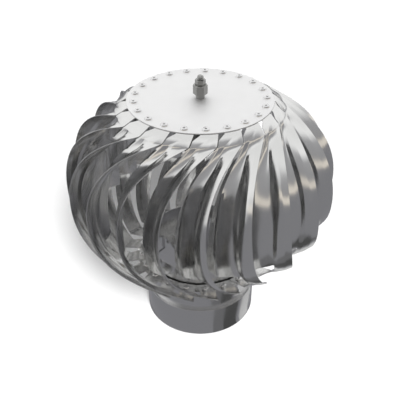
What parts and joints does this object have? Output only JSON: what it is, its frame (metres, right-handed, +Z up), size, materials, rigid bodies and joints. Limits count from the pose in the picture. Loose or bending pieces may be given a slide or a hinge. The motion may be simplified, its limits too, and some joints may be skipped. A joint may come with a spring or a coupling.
{
  "type": "rotating chimney cowl",
  "caption": "Round wind-driven chimney cowl: a ball of twisted overlapping stainless vanes under a flat disc turns on a spindle above a pipe collar that slips over a flue.",
  "frame": {"origin": "centre of the collar's lower rim, on the spindle axis", "axes": "+Z up along the spindle from the collar to the top disc; +X points at one vane's rivet; the viewer of the picture stands on -Y"},
  "size_m": [0.3376, 0.3377, 0.35],
  "materials": {
    "polished_stainless": "mirror-polished stainless steel sheet",
    "bright_stainless": "bright-rolled stainless steel sheet",
    "plated_steel": "bright zinc-plated steel",
    "rivet_steel": "bright stainless blind rivets",
    "bronze": "sintered bronze"
  },
  "bodies": {
    "base": {"base_collar": "bright_stainless", "throat_pipe": "bright_stainless", "bearing_bridge": "bright_stainless", "bridge_rivets": "rivet_steel", "bearing_housing": "bright_stainless", "housing_screws": "plated_steel", "housing_nuts": "plated_steel", "upper_bush": "bronze", "lower_bush": "bronze"},
    "rotor": {"spindle": "plated_steel", "retaining_clip": "plated_steel", "hub_plate": "plated_steel", "top_disc": "polished_stainless", "disc_rivets": "rivet_steel", "spacer_sleeve": "plated_steel", "clamp_nut": "plated_steel", "lock_nut": "plated_steel", "lower_ring": "polished_stainless", "ring_rivets": "rivet_steel", "vane_01": "polished_stainless", "vane_02": "polished_stainless", "vane_03": "polished_stainless", "vane_04": "polished_stainless", "vane_05": "polished_stainless", "vane_06": "polished_stainless", "vane_07": "polished_stainless", "vane_08": "polished_stainless", "vane_09": "polished_stainless", "vane_10": "polished_stainless", "vane_11": "polished_stainless", "vane_12": "polished_stainless", "vane_13": "polished_stainless", "vane_14": "polished_stainless", "vane_15": "polished_stainless", "vane_16": "polished_stainless", "vane_17": "polished_stainless", "vane_18": "polished_stainless", "vane_19": "polished_stainless", "vane_20": "polished_stainless", "vane_21": "polished_stainless"}
  },
  "joints": [
    {"name": "rotor_spin", "type": "hinge", "parent": "base", "child": "rotor", "pos_m": [0, 0, 0], "axis": [0, 0, 1], "continuous": true}
  ]
}
